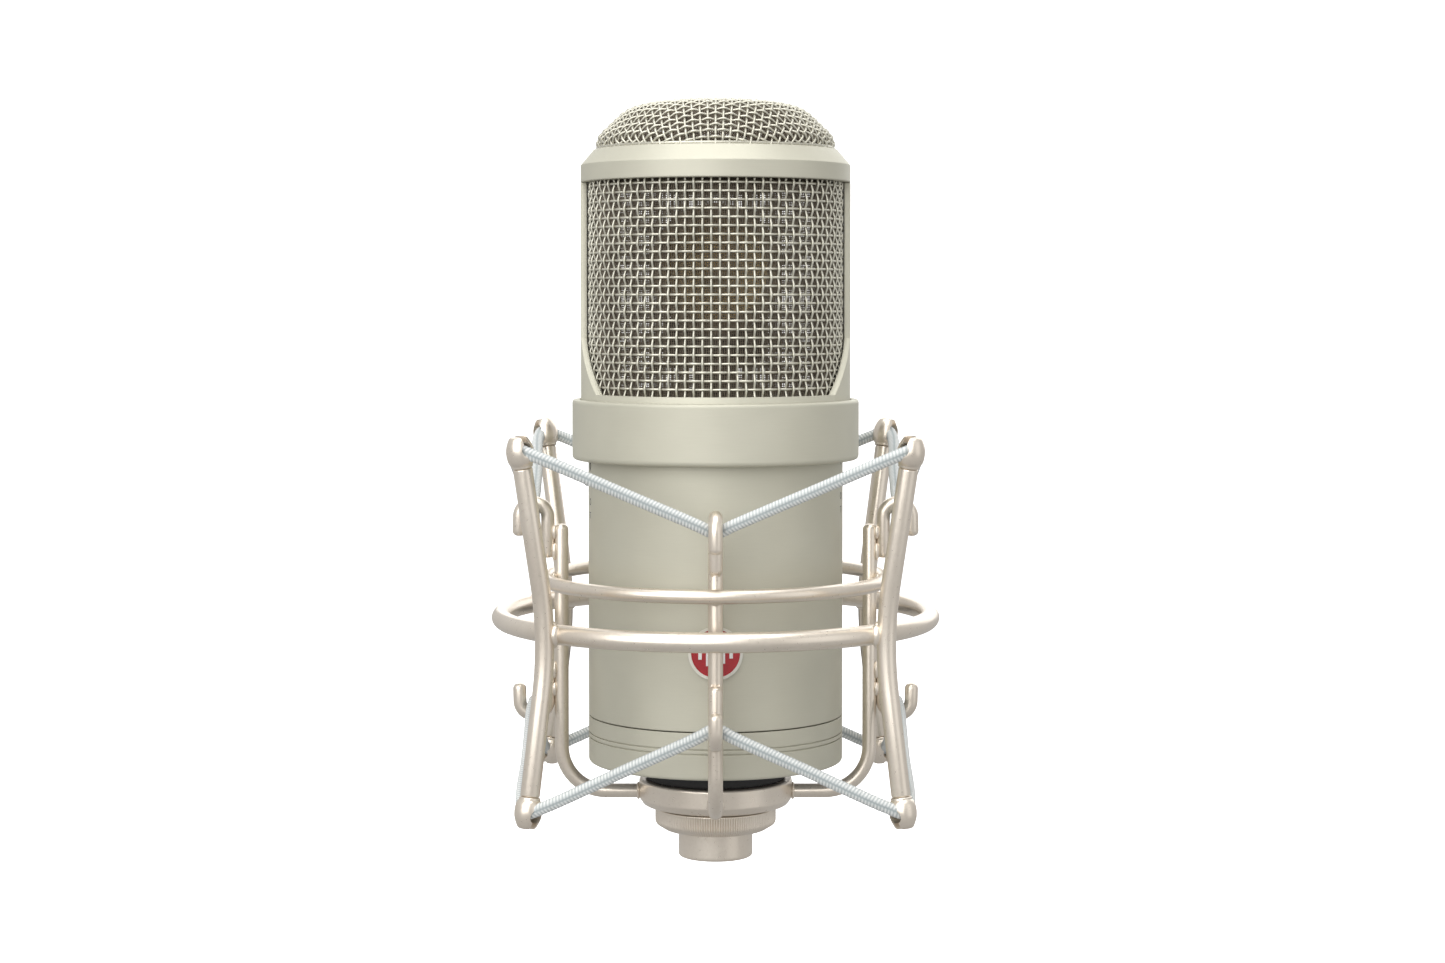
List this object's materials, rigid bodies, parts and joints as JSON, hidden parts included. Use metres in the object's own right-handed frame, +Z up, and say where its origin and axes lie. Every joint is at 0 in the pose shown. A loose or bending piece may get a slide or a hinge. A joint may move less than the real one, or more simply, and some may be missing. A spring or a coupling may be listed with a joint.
{
  "type": "condenser microphone in an elastic shock mount",
  "caption": "Side-address large-diaphragm condenser microphone with woven grille, hung by two elastic loops in a wire shock mount that tilts on a stand socket",
  "frame": {"origin": "centre of the stand thread's mouth, on the thread's axis, under the tilt joint", "axes": "+Z up along the stand and the microphone, -Y the way the microphone's front faces, +X to the right seen from the front"},
  "size_m": [0.1166, 0.1503, 0.1972],
  "materials": {
    "grille_wire": "woven wire, nickel plated",
    "body_nickel": "satin champagne nickel lacquer",
    "cage_nickel": "satin champagne nickel plate",
    "stand_steel": "satin black lacquer",
    "steel": "bright zinc plate",
    "brass": "turned brass",
    "gold_film": "gold-sputtered film",
    "black_plastic": "satin moulded black",
    "rubber": "matt black rubber",
    "elastic": "braided elastic cord",
    "board": "glass-fibre board",
    "badge_enamel": "red enamel on nickel"
  },
  "bodies": {
    "stand": {"stand_socket": "stand_steel", "washer_left": "rubber", "washer_right": "rubber", "clamp_nut": "steel"},
    "thumb_screw": {"thumb_screw": "black_plastic"},
    "cage": {"tilt_lug": "cage_nickel", "outer_ring": "cage_nickel", "post_front_right": "cage_nickel", "post_rear_right": "cage_nickel", "post_rear_left": "cage_nickel", "post_front_left": "cage_nickel", "upper_cap_front_right": "cage_nickel", "upper_cap_rear_right": "cage_nickel", "upper_cap_rear_left": "cage_nickel", "upper_cap_front_left": "cage_nickel", "lower_cap_front_right": "cage_nickel", "lower_cap_rear_right": "cage_nickel", "lower_cap_rear_left": "cage_nickel", "lower_cap_front_left": "cage_nickel", "upper_elastic": "elastic", "lower_elastic": "elastic"},
    "basket": {"arm_front": "cage_nickel", "arm_right": "cage_nickel", "arm_rear": "cage_nickel", "arm_left": "cage_nickel", "inner_ring": "cage_nickel", "basket_base": "cage_nickel", "base_gasket": "rubber"},
    "ring_nut": {"ring_nut": "cage_nickel"},
    "microphone": {"dome_grille": "grille_wire", "head_ring": "body_nickel", "head_frame": "body_nickel", "side_grille": "grille_wire", "inner_screen": "grille_wire", "collar": "body_nickel", "capsule_backplate": "brass", "front_diaphragm": "gold_film", "rear_diaphragm": "gold_film", "front_clamp_ring": "brass", "rear_clamp_ring": "brass", "capsule_saddle": "black_plastic", "body_tube": "body_nickel", "bottom_ring": "body_nickel", "base_plate": "steel", "capsule_deck": "steel", "front_rail": "steel", "rear_rail": "steel", "circuit_board": "board", "output_transformer": "steel", "coupling_capacitor": "black_plastic", "pattern_switch_housing": "black_plastic", "filter_switch_housing": "black_plastic", "badge": "badge_enamel", "xlr_shell": "body_nickel", "xlr_insert": "black_plastic", "xlr_pin_1": "brass", "xlr_pin_2": "brass", "xlr_pin_3": "brass"},
    "pattern_switch": {"pattern_switch_slider": "black_plastic"},
    "filter_switch": {"filter_switch_slider": "black_plastic"}
  },
  "joints": [
    {"name": "cage_tilt", "type": "hinge", "parent": "stand", "child": "cage", "pos_m": [0, 0, 0.042], "axis": [-1, 0, 0], "range_deg": [-20, 60]},
    {"name": "thumb_screw_turn", "type": "hinge", "parent": "stand", "child": "thumb_screw", "pos_m": [0, 0, 0.042], "axis": [1, 0, 0], "range_deg": [0, 720]},
    {"name": "suspension_bounce", "type": "slide", "parent": "cage", "child": "basket", "axis": [0, 0, 1], "range_m": [-0.004, 0.004], "stiffness_N_per_m": 2500, "springref_m": 0.0041, "deforming": ["upper_elastic", "lower_elastic"]},
    {"name": "ring_nut_turn", "type": "hinge", "parent": "basket", "child": "ring_nut", "pos_m": [0, -0.08, -0.0109], "axis": [0, 0, 1], "range_deg": [0, 1080]},
    {"name": "mic_lift_out", "type": "slide", "parent": "basket", "child": "microphone", "axis": [0, 0, 1], "range_m": [0, 0.12]},
    {"name": "pattern_switch_slide", "type": "slide", "parent": "microphone", "child": "pattern_switch", "axis": [0, 0, 1], "range_m": [-0.002, 0.002]},
    {"name": "filter_switch_slide", "type": "slide", "parent": "microphone", "child": "filter_switch", "axis": [0, 0, 1], "range_m": [-0.002, 0.002]}
  ]
}
